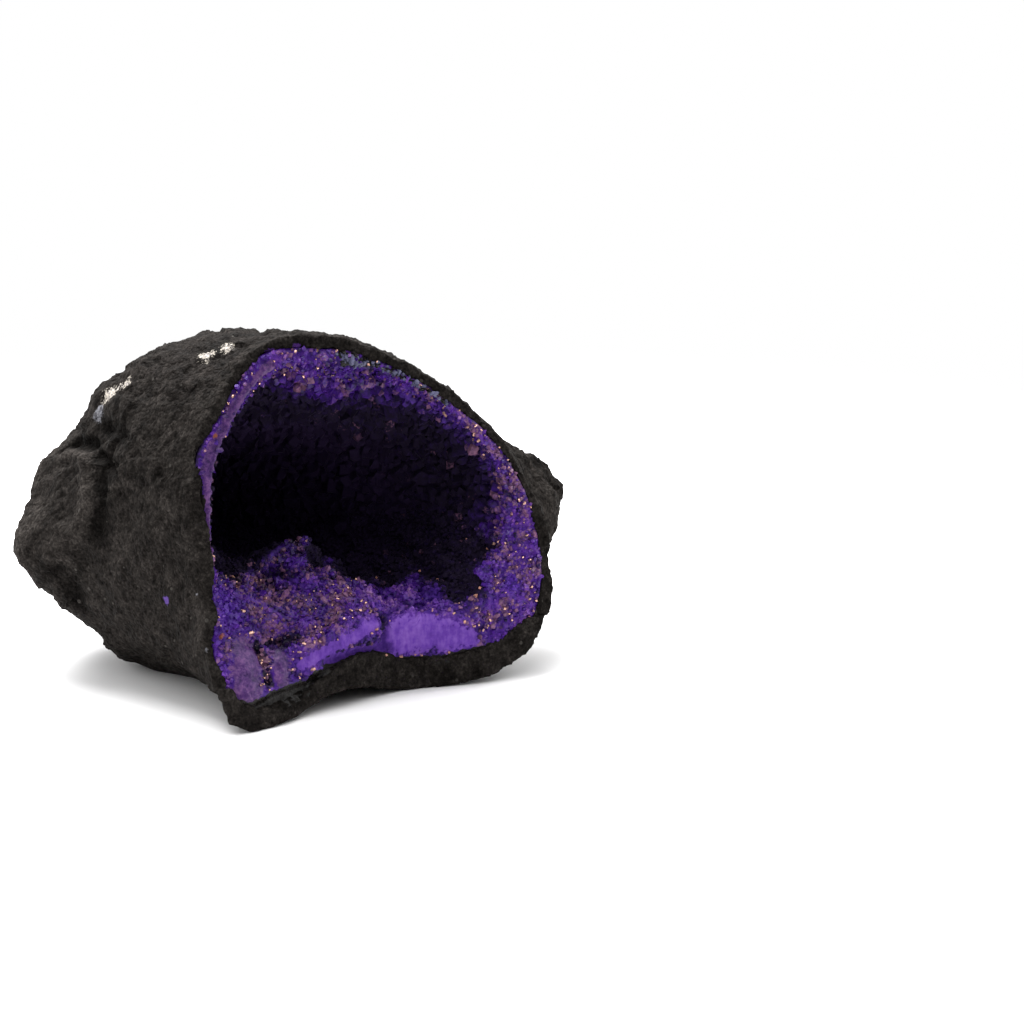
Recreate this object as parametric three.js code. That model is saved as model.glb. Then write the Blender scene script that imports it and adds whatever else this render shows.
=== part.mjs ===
// Half of a broken geode: a lump of host rock with a hollow, lined with a layer of dyed calcite.
// It is two grown-together minerals, so it is two solids: the rock shell and the calcite lining.
//
// Millimetres, +Z up. The stone lies on its underside on z = 0, and the mouth of the hollow faces -Y,
// leaning back a little. The origin is the middle of the bounding box, on the surface it rests on.
//
// Both solids are drawn in the mouth's own frame first: x to the right, y into the stone, z up along
// the broken face. A skin is a loft through closed outlines at growing depths, ending in a round pole.
import * as THREE from "three";
import { ParametricGeometry } from "three/addons/geometries/ParametricGeometry.js";
import { ImprovedNoise } from "three/addons/math/ImprovedNoise.js";
import { mergeVertices } from "three/addons/utils/BufferGeometryUtils.js";

// ---- Driving dimensions ----

const MOUTH_LEAN = THREE.MathUtils.degToRad(15); // how far the broken face leans back from upright
const MOUTH_HEIGHT = 27.4; // from the surface to the middle of the broken face
const FOOT_DEPTH = 0.8; // how much the stone is worn flat where it stands

const ROCK_THICKNESS = 4.5; // of the shell behind the broken face; the calcite fills what is inside it
const FIT_GAP = 0.3; // between the rock and the lining

// Low swellings all over the outside and the inside: how high they stand, and how far apart.
const ROCK_SWELLING = { height: 0.9, spacing: 9 };
const CALCITE_SWELLING = { height: 0.8, spacing: 6 };
const SWELLING_EDGE = 1 / 6; // of the way to the pole, where they die out towards the broken face

const MERIDIANS = 72;
const ROCK_RINGS = 20;
const HOLLOW_RINGS = 14;
const OUTLINE_SAMPLES = 720;
const MERGE_DISTANCE = 1e-3;

// Outlines of the broken face, as [x, z] points, anticlockwise from the right.
const RIM = [
  [29.4, 1.1], [23.7, 12.3], [15.0, 21.0], [4.4, 27.7], [-4.2, 31.6], [-16.4, 31.6],
  [-24.6, 24.0], [-31.2, 13.8], [-32.2, -0.7], [-33.0, -15.2], [-30.4, -27.8], [-21.0, -27.6],
  [-8.7, -24.7], [6.1, -26.7], [19.4, -25.9], [28.7, -20.7], [31.6, -12.2],
];
const MOUTH = [
  [24.0, -3.0], [22.3, 5.2], [16.8, 14.1], [9.1, 20.8], [-2.5, 26.4], [-13.6, 28.0],
  [-20.6, 22.6], [-27.0, 13.0], [-29.0, 2.2], [-30.0, -8.0], [-27.0, -18.5], [-16.7, -17.5],
  [-3.4, -15.0], [8.0, -15.0], [16.7, -13.5], [21.8, -10.0],
];
const FACE_MIDDLE = [-2, 3];

// Rock thickness on the broken face, at eight compass points, anticlockwise from the right.
const RIND = [2.8, 3.4, 2.6, 1.6, 1.2, 2.2, 4.6, 3.6];
const THINNEST_BAND = 0.8; // of calcite on the broken face

// Sections behind the broken face: depth, middle [x, z], radii at the same eight compass points.
const BODY = [
  { depth: 18, middle: [-1, 5], radii: [35, 27, 28.5, 36.5, 36, 35, 27, 34] },
  { depth: 38, middle: [-9, 8], radii: [30, 24, 22, 27, 32, 31, 27, 28] },
  { depth: 52, middle: [-13, 8], radii: [18, 15, 13, 16, 21, 19, 17, 16] },
];
const BODY_POLE = [-13, 59, 8];

const HOLLOW = [
  { depth: 12, middle: [-4, 6], radii: [26, 17, 15, 22, 24, 12, 9, 21] },
  { depth: 26, middle: [-6, 6], radii: [22, 17, 14, 18, 22, 15, 12, 18] },
  { depth: 38, middle: [-8, 7], radii: [13, 11, 9, 11, 14, 12, 9, 12] },
];
const HOLLOW_POLE = [-8, 45, 7];

// Swellings and dents as round mounds: place, how far it pushes the skin, and its reach.
const ROCK_MOUNDS = [
  { at: [37, 15, 7], push: [8, 0, 1.5], reach: 6 }, // knob beside the mouth, on the right
  { at: [38, 15, -1], push: [12.5, 0, 0], reach: 7.5 },
  { at: [-43, 38, 4], push: [-3, 1, -1], reach: 6 },
  { at: [-36, 30, 18], push: [2, 0, -2], reach: 7 },
];
const CALCITE_MOUNDS = [
  { at: [-10, 11, -4], push: [0, 0, 3.5], reach: 4.5 }, // crystal mound on the floor
  { at: [21, 3, -10], push: [-3, 0, 1], reach: 4 }, // spur at the lower right
];
// Waves of the broken face: how far it stands forward (minus: is set back).
const FACE_WAVES = [
  { at: [4, -24], forward: -4, reach: 9 }, // bite out of the lower edge
  { at: [-28, -27], forward: 3, reach: 9 },
  { at: [-4, 30], forward: 1.5, reach: 10 },
];

// ---- Outlines and lofts ----

// The radius of a closed outline of [x, z] points, seen from a middle point, at any angle.
function outlineRadius(points, [mx, mz]) {
  const curve = new THREE.CatmullRomCurve3(
    points.map(([x, z]) => new THREE.Vector3(x - mx, 0, z - mz)),
    true,
  );
  const samples = curve
    .getPoints(OUTLINE_SAMPLES)
    .map((p) => ({ angle: Math.atan2(p.z, p.x), radius: Math.hypot(p.x, p.z) }))
    .sort((a, b) => a.angle - b.angle);
  return (angle) => {
    const wrapped = Math.atan2(Math.sin(angle), Math.cos(angle));
    const next = samples.findIndex((s) => s.angle >= wrapped);
    const b = samples[Math.max(next, 0)];
    const a = samples[(Math.max(next, 0) + samples.length - 1) % samples.length];
    const span = (b.angle - a.angle + 2 * Math.PI) % (2 * Math.PI) || 1;
    const share = ((wrapped - a.angle + 2 * Math.PI) % (2 * Math.PI)) / span;
    return a.radius + (b.radius - a.radius) * Math.min(share, 1);
  };
}

// A value at any angle, from values at evenly spaced compass points.
function compassValue(values, angle) {
  const at = ((angle / (2 * Math.PI)) * values.length + values.length) % values.length;
  const index = Math.floor(at);
  const share = at - index;
  const valueAt = (i) => values[(i + values.length) % values.length];
  const [before, from, to, after] = [-1, 0, 1, 2].map((k) => valueAt(index + k));
  const bend = (to - before) / 2;
  const next = (after - from) / 2;
  const rise = to - from;
  return from + share * (bend + share * (3 * rise - 2 * bend - next + share * (bend + next - 2 * rise)));
}

const mound = (distance, reach) => Math.exp(-((distance / reach) ** 2));

// How far the broken face stands forward of its plane at [x, z].
function faceForward(x, z) {
  const waves = FACE_WAVES.map((w) => w.forward * mound(Math.hypot(x - w.at[0], z - w.at[1]), w.reach));
  return waves.reduce((sum, wave) => sum + wave, 0);
}

// A point of the broken face, at an angle and radius from its middle.
function facePoint(angle, radius) {
  const x = FACE_MIDDLE[0] + radius * Math.cos(angle);
  const z = FACE_MIDDLE[1] + radius * Math.sin(angle);
  return new THREE.Vector3(x, -faceForward(x, z), z);
}

// The line from the broken face to the pole at one angle, on a skin that lies outside the sections by
// grow. The curve runs on past the pole for one point, so that the skin is round there.
function meridian(angle, edge, sections, pole, grow = 0) {
  const stretch = (pole[1] + grow) / pole[1];
  const sectionPoint = (section, around) => {
    const radius = compassValue(section.radii, around) + grow;
    return new THREE.Vector3(
      section.middle[0] + radius * Math.cos(around),
      section.depth * stretch,
      section.middle[1] + radius * Math.sin(around),
    );
  };
  const end = new THREE.Vector3(pole[0], pole[1] * stretch, pole[2]);
  const beyond = sectionPoint(sections.at(-1), angle + Math.PI);
  const points = [edge, ...sections.map((s) => sectionPoint(s, angle)), end, beyond];
  const curve = new THREE.CatmullRomCurve3(points, false, "centripetal");
  const whole = (points.length - 2) / (points.length - 1);
  return (share) => (share === 1 ? end.clone() : curve.getPoint(share * whole));
}

const noise = new ImprovedNoise();

// A point of a skin moved along a direction by its swellings, of two sizes.
function swollen(p, direction, share, { height, spacing }) {
  const [x, y, z] = [p.x / spacing, p.y / spacing, p.z / spacing];
  const coarse = noise.noise(x + 7.3, y + 1.9, z + 4.1);
  const fine = noise.noise(2.1 * x, 2.1 * y + 5.5, 2.1 * z);
  const fade = Math.min(share / SWELLING_EDGE, 1);
  return p.clone().addScaledVector(direction, height * fade * (coarse + fine / 2));
}

function withMounds(p, mounds) {
  const moved = p.clone();
  for (const m of mounds) {
    const amount = mound(p.distanceTo(new THREE.Vector3(...m.at)), m.reach);
    moved.addScaledVector(new THREE.Vector3(...m.push), amount);
  }
  return moved;
}

// ---- The three skins: outside of the rock, the seam, the hollow ----

const rimRadius = outlineRadius(RIM, FACE_MIDDLE);
const mouthRadius = outlineRadius(MOUTH, FACE_MIDDLE);
const seamRadius = (angle) =>
  Math.max(rimRadius(angle) - compassValue(RIND, angle), mouthRadius(angle) + THINNEST_BAND);

const middleOf = ({ middle, depth }) => new THREE.Vector3(middle[0], depth, middle[1]);

function outsidePoint(angle, share) {
  const p = meridian(angle, facePoint(angle, rimRadius(angle)), BODY, BODY_POLE)(share);
  const outward = p.clone().sub(middleOf(BODY[0])).normalize();
  return withMounds(swollen(p, outward, share, ROCK_SWELLING), ROCK_MOUNDS);
}

function seamPoint(angle, share, side) {
  const edge = facePoint(angle, seamRadius(angle) + side * FIT_GAP / 2);
  return meridian(angle, edge, BODY, BODY_POLE, side * FIT_GAP / 2 - ROCK_THICKNESS)(share);
}

function hollowPoint(angle, share) {
  const p = meridian(angle, facePoint(angle, mouthRadius(angle)), HOLLOW, HOLLOW_POLE)(share);
  const inward = middleOf(HOLLOW[0]).sub(p).normalize();
  return withMounds(swollen(p, inward, share, CALCITE_SWELLING), CALCITE_MOUNDS);
}

// ---- Solids ----

// A pole is one point for every meridian, so half the triangles of its ring have no area.
function withoutCollapsed(corners) {
  return corners.filter((_, i) => {
    const [a, b, c] = corners.slice(i - (i % 3), i - (i % 3) + 3);
    return a !== b && b !== c && c !== a;
  });
}

// A closed body whose meridians run along one skin from its pole to the broken face, and back along
// another to its pole.
function closedBody(outer, outerRings, inner, innerRings) {
  const rings = outerRings + 1 + innerRings;
  const shape = new ParametricGeometry(
    (u, v, target) => {
      const angle = 2 * Math.PI * (u % 1);
      const ring = Math.round(v * rings);
      const onOuter = ring <= outerRings;
      const share = onOuter ? 1 - ring / outerRings : (ring - outerRings - 1) / innerRings;
      target.copy(onOuter ? outer(angle, share) : inner(angle, share));
    },
    MERIDIANS,
    rings,
  );
  shape.deleteAttribute("normal");
  shape.deleteAttribute("uv");
  const merged = mergeVertices(shape, MERGE_DISTANCE);
  merged.setIndex(withoutCollapsed(Array.from(merged.index.array)));
  return merged;
}

// From the mouth's frame to the part's own frame: lean the face back, stand the stone on the surface
// and wear its feet flat.
function settle(geometry) {
  geometry.rotateX(-MOUTH_LEAN);
  geometry.translate(0, 0, MOUTH_HEIGHT - FOOT_DEPTH);
  const position = geometry.getAttribute("position");
  for (let i = 0; i < position.count; i += 1) position.setZ(i, Math.max(position.getZ(i), 0));
  geometry.computeVertexNormals();
  return geometry;
}

function piece(name, geometry, color, roughness) {
  const mesh = new THREE.Mesh(geometry, new THREE.MeshStandardMaterial({ color, roughness, metalness: 0 }));
  mesh.name = name;
  return mesh;
}

const rock = settle(closedBody(outsidePoint, ROCK_RINGS, (a, s) => seamPoint(a, s, 1), HOLLOW_RINGS));
const calcite = settle(closedBody((a, s) => seamPoint(a, s, -1), HOLLOW_RINGS, hollowPoint, HOLLOW_RINGS));

// The rock encloses the calcite, so its box is the part's box.
rock.computeBoundingBox();
const middle = rock.boundingBox.getCenter(new THREE.Vector3());

const geode = new THREE.Group();
geode.name = "geode_half";
for (const mesh of [
  piece("rock_shell", rock, 0x2b2a29, 0.85),
  piece("calcite_lining", calcite, 0x4a1fa0, 0.35),
]) {
  mesh.position.set(-middle.x, -middle.y, 0);
  geode.add(mesh);
}

export default geode;
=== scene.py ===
import random
from math import pi, radians

import bmesh
import bpy
import numpy as np
from mathutils import Matrix, Vector, noise


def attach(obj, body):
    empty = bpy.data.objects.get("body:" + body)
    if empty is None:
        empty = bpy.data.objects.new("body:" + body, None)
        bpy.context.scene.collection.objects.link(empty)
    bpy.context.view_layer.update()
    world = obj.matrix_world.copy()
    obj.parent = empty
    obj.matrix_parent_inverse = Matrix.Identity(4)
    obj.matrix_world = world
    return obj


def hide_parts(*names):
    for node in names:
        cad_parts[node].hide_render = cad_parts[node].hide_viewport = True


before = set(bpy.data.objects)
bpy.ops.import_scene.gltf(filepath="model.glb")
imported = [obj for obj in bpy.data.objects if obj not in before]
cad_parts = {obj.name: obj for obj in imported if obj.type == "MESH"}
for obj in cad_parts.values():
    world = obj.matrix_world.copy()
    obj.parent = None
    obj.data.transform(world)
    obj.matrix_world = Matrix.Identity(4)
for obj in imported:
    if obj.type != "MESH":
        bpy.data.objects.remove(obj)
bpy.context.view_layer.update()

scene = bpy.context.scene

# ---- The mouth of the hollow, and the camera ----
# The hollow opens at the broken face, which leans back from upright. The stone is worked in the face's own
# millimetres: x to the right, y into the stone, z up along the face, from the middle of the mouth.

MOUTH_LEAN = radians(15)
MOUTH_MIDDLE = Vector((-0.0008, -0.0246, 0.0266))
MILLIMETRE = 0.001
from_mouth = (
    Matrix.Translation(MOUTH_MIDDLE) @ Matrix.Rotation(-MOUTH_LEAN, 4, "X") @ Matrix.Scale(MILLIMETRE, 4)
)
to_mouth = from_mouth.inverted()

CAMERA_TURN = radians(-32)  # from straight in front, round to the stone's left end
CAMERA_RISE = radians(14)
CAMERA_DISTANCE = 0.6
LENS = 131.8
MOUTH_OFF_CENTRE = (0.0219, 0.0029)  # how far left of the view's middle, and below it, the mouth stands

camera = bpy.data.objects.new("camera", bpy.data.cameras.new("camera"))
scene.collection.objects.link(camera)
scene.camera = camera
camera.data.lens = LENS
camera.data.sensor_width = 36
camera.rotation_euler = (pi / 2 - CAMERA_RISE, 0, CAMERA_TURN)
camera_axes = camera.rotation_euler.to_matrix()
camera.location = MOUTH_MIDDLE + camera_axes @ Vector((*MOUTH_OFF_CENTRE, CAMERA_DISTANCE))

# ---- Floor and studio light ----
# A matt white table top that fades into a white surround. One broad softbox hangs above the stone and a
# little behind it. The rest of the light comes from the white room, which is dim in front of the stone.

FLOOR_RADIUS = 0.5
# The distances from the stone over which the table top turns into white surround.
FLOOR_FADE = (0.10, 0.26)
TABLE_WHITES = ((0.0, (0.86, 0.855, 0.855)), (1.0, (0.92, 0.915, 0.92)))
SOFTBOX_SIZE = 0.36
SOFTBOX_PLACE = Vector((0.0, 0.21, 0.44))
SOFTBOX_POWER = 5.4
DIM_SIDE = Vector((-0.15, -0.95, -0.20)).normalized()
ROOM_LIGHT = (0.10, 1.7)  # from the dim side, and from everywhere else
DIM_SIDE_WIDTH = 0.8  # how closely a direction has to match the dim side to be dimmest

scene.view_settings.view_transform = "Standard"

floor_shape = bmesh.new()
bmesh.ops.create_circle(floor_shape, cap_ends=True, radius=FLOOR_RADIUS, segments=96)
floor_mesh = bpy.data.meshes.new("floor")
floor_shape.to_mesh(floor_mesh)
floor_shape.free()
floor = bpy.data.objects.new("floor", floor_mesh)
scene.collection.objects.link(floor)


def add_node(tree, kind, inputs=None, **settings):
    """A shader node with its settings, and its inputs set to values or linked from other nodes' outputs."""
    node = tree.nodes.new(kind)
    for name, value in settings.items():
        setattr(node, name, value)
    for name, value in (inputs or {}).items():
        if isinstance(value, bpy.types.NodeSocket):
            tree.links.new(value, node.inputs[name])
        else:
            node.inputs[name].default_value = value
    return node


def new_material(name):
    """An empty material, its node tree and its output node."""
    material = bpy.data.materials.new(name)
    material.use_nodes = True
    material.node_tree.nodes.clear()
    return material, material.node_tree, material.node_tree.nodes.new("ShaderNodeOutputMaterial")


def colour_ramp(tree, share, *stops):
    """Colours at their positions along a ramp."""
    ramp = add_node(tree, "ShaderNodeValToRGB", {"Fac": share})
    elements = ramp.color_ramp.elements
    while len(elements) < len(stops):
        elements.new(0.5)
    for element, (position, shade) in zip(elements, stops):
        element.position = position
        element.color = (*shade, 1)
    return ramp.outputs["Color"]


floor_paint, tree, output = new_material("white_table_top")
place = add_node(tree, "ShaderNodeTexCoord").outputs["Object"]
reach = add_node(tree, "ShaderNodeVectorMath", {0: place}, operation="LENGTH").outputs["Value"]
fade = add_node(tree, "ShaderNodeMapRange", {
    "Value": reach, "From Min": FLOOR_FADE[0], "From Max": FLOOR_FADE[1],
}, interpolation_type="SMOOTHSTEP").outputs["Result"]
smudge = add_node(tree, "ShaderNodeTexNoise", {"Vector": place, "Scale": 90, "Detail": 5}).outputs["Fac"]
white = colour_ramp(tree, smudge, *TABLE_WHITES)
table_top = add_node(tree, "ShaderNodeBsdfPrincipled", {"Base Color": white, "Roughness": 0.7})
clear = add_node(tree, "ShaderNodeBsdfTransparent")
faded = add_node(tree, "ShaderNodeMixShader", {
    0: fade, 1: table_top.outputs["BSDF"], 2: clear.outputs["BSDF"],
})
tree.links.new(faded.outputs["Shader"], output.inputs["Surface"])
floor_mesh.materials.append(floor_paint)

softbox = bpy.data.objects.new("softbox", bpy.data.lights.new("softbox", "AREA"))
scene.collection.objects.link(softbox)
softbox.data.size = SOFTBOX_SIZE
softbox.data.energy = SOFTBOX_POWER
softbox.location = SOFTBOX_PLACE
softbox.rotation_euler = SOFTBOX_PLACE.to_track_quat("Z", "Y").to_euler()

scene.world = bpy.data.worlds.new("white_room")
scene.world.use_nodes = True
tree = scene.world.node_tree
tree.nodes.clear()
sky = add_node(tree, "ShaderNodeTexCoord").outputs["Generated"]
toward_dim = add_node(tree, "ShaderNodeVectorMath", {0: sky, 1: DIM_SIDE}, operation="DOT_PRODUCT")
strength = add_node(tree, "ShaderNodeMapRange", {
    "Value": toward_dim.outputs["Value"], "From Min": DIM_SIDE_WIDTH, "From Max": 0.0,
    "To Min": ROOM_LIGHT[0], "To Max": ROOM_LIGHT[1],
}, interpolation_type="SMOOTHSTEP")
room = add_node(tree, "ShaderNodeBackground", {
    "Color": (1, 1, 1, 1), "Strength": strength.outputs["Result"],
})
surround = add_node(tree, "ShaderNodeBackground", {"Color": (1, 1, 1, 1)})
seen = add_node(tree, "ShaderNodeLightPath").outputs["Is Camera Ray"]
world = add_node(tree, "ShaderNodeMixShader", {
    0: seen, 1: room.outputs["Background"], 2: surround.outputs["Background"],
})
output = tree.nodes.new("ShaderNodeOutputWorld")
tree.links.new(world.outputs["Shader"], output.inputs["Surface"])

# ---- Host rock ----
# A shell of dark, fine-grained volcanic rock under a matt charcoal coat. It is creased and striated where
# it lay in its bed and pitted on top, and a little white mineral shows on the upper left.

NOISE_SEED = 1  # without one the chipped flats would differ every time
ROCK_GRID = 0.46  # spacing of the fine mesh
KEPT = 0.64  # of the fine mesh, once the side against the lining is thinned
SEAM_FACES = (-6, 20, 5)  # the side against the lining looks towards here,
SEAM_START = 4  # and starts this far behind the broken face
# Each unevenness: how high, and how far apart.
LUMPS = (0.6, 9.0)
BACK_LUMPS = 0.8  # how much higher they stand at the back, which starts and is reached at these depths
BACK = (15, 35)
CHIPS = ((1.6, 6.5), (0.6, 2.4))
SLOPE_STEP = 7.3  # any number that keeps one chip's slope apart from its neighbours'
STRIAE = (0.15, 1.4)
GRAINS = (0.22, 0.8)
CRAGS = (0.28, 4.5)
PITS = (0.4, 1.7)
PITTED_TOP = (24, 34)  # the pits start and are deepest at these heights
KNOB = (29, 34)  # the knob starts, and is full, this far to the right
CRAGGY = (0.45, 0.55, 0.5)  # how rough the front is, and how much rougher the upper back and the knob are
STRIAE_ALONG = (0, 0.947, -0.32)  # the striae run into the stone and a little down
STRIAE_STRETCH = 3.5
LEDGE_STRETCH = 2.4
TABLE_WEAR = 0.002  # metres above the table, below which the skin is worn smooth
# The rock's rim laps over the foot and the left side of the lining's band, up to these places: x, z.
BAND_FOOT = (
    (-31, -22.3), (-27.5, -23.6), (-23, -22.4), (-17, -21.6), (-12, -20), (-5, -19.6),
    (4, -21), (10, -21.6), (20, -20.9), (25, -19.3),
)
BAND_SIDE = ((-31.3, -15), (-30.4, -7), (-30, 0), (-29.5, 6), (-29.1, 11.5), (-30.6, 15), (-31, 30))
RIM_OVERLAP = 1.5
RIM_STANDS = 0.45  # proud of the broken calcite
# Right of the mouth the broken face is broader: at these angles up from the right, how far from its middle
# the band ends, and how much farther out it is set.
BROADER_AT = (-40, -20, 0, 20, 40, 60, 80, 100)
BAND_ENDS = (31.5, 30.7, 26.7, 24.6, 22.7, 23.2, 24.9, 30.4)
SET_OUT = (0, 0.9, 2.3, 2.6, 2.5, 2.1, 2.2, 0)
# Creases and ridges of the left side, and the foot of the knob: a line of points, how far it pushes the
# skin out, half its width.
FOLDS = (
    (((-40, 44, 19), (-42, 42, 9)), 1.8, 5.0),
    (((-34.5, 35, 21), (-34, 28, 20)), -1.7, 1.1),
    (((-35.5, 35, 19), (-35, 27, 17.5)), 1.0, 1.0),
    (((-35, 25, 18), (-36, 18, 15.5)), -1.7, 1.1),
    (((-33.5, 25.5, 22.5), (-34, 17, 20.5)), -1.0, 1.4),
    (((-35.5, 27, 16.5), (-38, 24.5, 11.5), (-39.5, 26.5, 6.5), (-41.5, 33, 3)), 1.0, 1.6),
    (((-37, 22, 14), (-37.5, 20.5, 11), (-38.5, 22.5, 6)), -1.3, 1.8),
    (((-41, 33, 0), (-38.5, 33, -5)), -0.8, 2.0),
    (((38.5, 10, 1), (37, 8.5, -3)), 1.6, 3.5),
)
# Spots where the coat is gone or stained: middle, radius.
WHITE_MINERAL = (
    ((-21, 9, 31.3), 3.0), ((-18.5, 7, 32.5), 2.6), ((-30.6, 27, 27.5), 3.6), ((-29.5, 22.5, 29), 2.4),
)
WHITE_STREAK = ((-31, 27.5, 27), (-29.5, 24.5, 29))
STREAK_HALF_WIDTH = 1.2
VIOLET_SPOTS = (((-33.8, 9.3, -6.2), 1.1),)
PALE_SPOTS = (
    ((-33.0, -0.3, -14.5), 0.9), ((-32.8, 1.5, -5.8), 0.5), ((-37.5, 14, 1), 0.6), ((-32.4, 28, 24.8), 2.8),
)
LILAC_EDGE = (((-14.3, -0.5, 29.8), 1.3), ((-10, -1, 30.4), 1.0))
SPOT_EDGE = 0.08  # how softly the spots end
# Colours, at their positions along a ramp or plain.
COAT = ((0.3, (0.0048, 0.0041, 0.0037)), (0.72, (0.0215, 0.0188, 0.0172)))
CREAM = ((0.35, (0.06, 0.057, 0.085)), (0.6, (0.55, 0.50, 0.43)))
GREY_SMEAR = ((0.35, (0.02, 0.02, 0.026)), (0.65, (0.20, 0.20, 0.22)))
PINPOINT = (0.05, 0.046, 0.042, 1)
VIOLET = (0.09, 0.05, 0.21, 1)
LILAC = (0.06, 0.022, 0.14, 1)


def solid_of(node, grid):
    """A CAD node as one closed skin on a fine even mesh, in the mouth's millimetres."""
    joined = bmesh.new()
    joined.from_mesh(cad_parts[node].data)
    bmesh.ops.remove_doubles(joined, verts=joined.verts, dist=1e-6)
    joined.transform(to_mouth)
    coarse = bpy.data.meshes.new(node + "_coarse")
    joined.to_mesh(coarse)
    joined.free()
    rough = bpy.data.objects.new(node + "_coarse", coarse)
    scene.collection.objects.link(rough)
    remesh = rough.modifiers.new("even_mesh", "REMESH")
    remesh.mode = "VOXEL"
    remesh.voxel_size = grid
    fine = bpy.data.meshes.new_from_object(rough.evaluated_get(bpy.context.evaluated_depsgraph_get()))
    bpy.data.objects.remove(rough)
    bpy.data.meshes.remove(coarse)
    return fine


def thinned(mesh, hidden, kept):
    """The mesh with fewer faces where hidden is 1, down to a share of them all."""
    whole = bpy.data.objects.new("whole", mesh)
    scene.collection.objects.link(whole)
    group = whole.vertex_groups.new(name="hidden")
    group.add(np.nonzero(hidden)[0].tolist(), 1.0, "REPLACE")
    decimate = whole.modifiers.new("thin", "DECIMATE")
    decimate.ratio = kept
    decimate.vertex_group = "hidden"
    thin = bpy.data.meshes.new_from_object(whole.evaluated_get(bpy.context.evaluated_depsgraph_get()))
    bpy.data.objects.remove(whole)
    return thin


def read_points(mesh):
    """The vertices and their outward directions, as arrays."""
    places = np.empty(len(mesh.vertices) * 3)
    outward = np.empty(len(mesh.vertices) * 3)
    mesh.vertices.foreach_get("co", places)
    mesh.vertices.foreach_get("normal", outward)
    return places.reshape(-1, 3), outward.reshape(-1, 3)


def write_points(mesh, places):
    mesh.vertices.foreach_set("co", places.ravel())
    mesh.update()


def paint(mesh, name, values):
    """One number for each vertex, which the material reads by its name."""
    layer = mesh.attributes.new(name, "FLOAT", "POINT")
    layer.data.foreach_set("value", np.ascontiguousarray(values, dtype=np.float32))


def from_line(places, line):
    """Each place's distance from a line through points."""
    nearest = np.full(len(places), np.inf)
    for start, end in zip(line, line[1:]):
        start, along = np.array(start), np.subtract(end, start)
        share = np.clip((places - start) @ along / (along @ along), 0, 1)
        nearest = np.minimum(nearest, np.linalg.norm(places - start - share[:, None] * along, axis=1))
    return nearest


def near_spots(places, spots):
    """1 in the middle of the spots, falling to 0 at twice their radius."""
    masks = [1 - np.linalg.norm(places - middle, axis=1) / (2 * radius) for middle, radius in spots]
    return np.clip(np.max(masks, axis=0), 0, 1)


def smooth_step(low, high, values):
    share = np.clip((values - low) / (high - low), 0, 1)
    return share * share * (3 - 2 * share)


def fractal(places, spacing, octaves=3):
    return np.array([noise.fractal(Vector(p) / spacing, 1.0, 2.0, octaves) for p in places])


def cell_bumps(places, spacing):
    """Round bumps side by side: 1 on top of each, 0 or less in the creases between them."""
    return np.array([1 - 2 * noise.voronoi(Vector(p) / spacing)[0][0] for p in places])


def chipped(places, spacing):
    """Slanted flats side by side, each with a slope of its own, with steps between them."""
    heights = []
    for p in places:
        at = Vector(p) / spacing
        middle = noise.voronoi(at)[1][0]
        slope = noise.noise_vector(middle * SLOPE_STEP)
        heights.append((at - middle).dot(slope))
    return np.array(heights)


def pressed(places, stretch):
    """The places drawn together along the striae, which draws a pattern out along them."""
    along = np.array(STRIAE_ALONG)
    return places - np.outer(places @ along, along) * (1 - 1 / stretch)


def beyond_band(places):
    """How far places lie below the foot of the lining's band, and to its left (minus: inside it)."""
    foot = np.interp(places[:, 0], *zip(*BAND_FOOT))
    side = np.interp(places[:, 2], [z for x, z in BAND_SIDE], [x for x, z in BAND_SIDE])
    return foot - places[:, 2], side - places[:, 0]


def broadened(places):
    """The places, with those of the broken face's right side set farther out."""
    angle = np.degrees(np.arctan2(places[:, 2], places[:, 0]))
    reach = np.hypot(places[:, 0], places[:, 2])
    ends = np.interp(angle, BROADER_AT, BAND_ENDS)
    amount = np.interp(angle, BROADER_AT, SET_OUT, left=0, right=0) * smooth_step(16, 5, places[:, 1])
    amount *= smooth_step(ends - 6, ends - 1.5, reach) * (1 - 0.55 * smooth_step(ends, ends + 3, reach))
    scale = 1 + amount / np.maximum(reach, 1)
    return places * np.stack((scale, np.ones(len(scale)), scale), axis=1)


def ridges(places, spacing):
    """Sharp winding ridges with hollows between them."""
    heights = [noise.ridged_multi_fractal(Vector(p) / spacing, 1.0, 2.1, 3, 1.0, 2.0) for p in places]
    return np.array(heights) - np.mean(heights)


# The rock's skin: its broad shape, and the fine relief that the coat's painted light and shade follow.
noise.seed_set(NOISE_SEED)
rock_mesh = solid_of("rock_shell", ROCK_GRID)
places, outward = read_points(rock_mesh)
seam_side = (np.sum(outward * (np.array(SEAM_FACES) - places), axis=1) > 0) & (places[:, 1] > SEAM_START)
rock_mesh = thinned(rock_mesh, seam_side, KEPT)
places, outward = read_points(rock_mesh)
places = broadened(places)
height, spacing = LUMPS
broad = height * (1 + BACK_LUMPS * smooth_step(*BACK, places[:, 1])) * fractal(places, spacing, 2)
front, upper_back, knob = CRAGGY
craggy = front + upper_back * smooth_step(12, 32, places[:, 1] + 0.7 * places[:, 2])
craggy += knob * smooth_step(*KNOB, places[:, 0])
large_chips, small_chips = CHIPS
height, spacing = large_chips
broad += height * craggy * chipped(pressed(places, LEDGE_STRETCH), spacing)
height, spacing = small_chips
relief = height * craggy * chipped(pressed(places, LEDGE_STRETCH), spacing)
height, spacing = STRIAE
broad += height * fractal(pressed(places, STRIAE_STRETCH), spacing, 2)
height, spacing = PITS
pitted = smooth_step(*PITTED_TOP, places[:, 1] * 0.5 + places[:, 2])
relief -= height * (0.2 + 0.8 * pitted) * smooth_step(0.5, 0.95, cell_bumps(places, spacing))
height, spacing = GRAINS
relief += height * fractal(places, spacing, 2)
height, spacing = CRAGS
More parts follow.
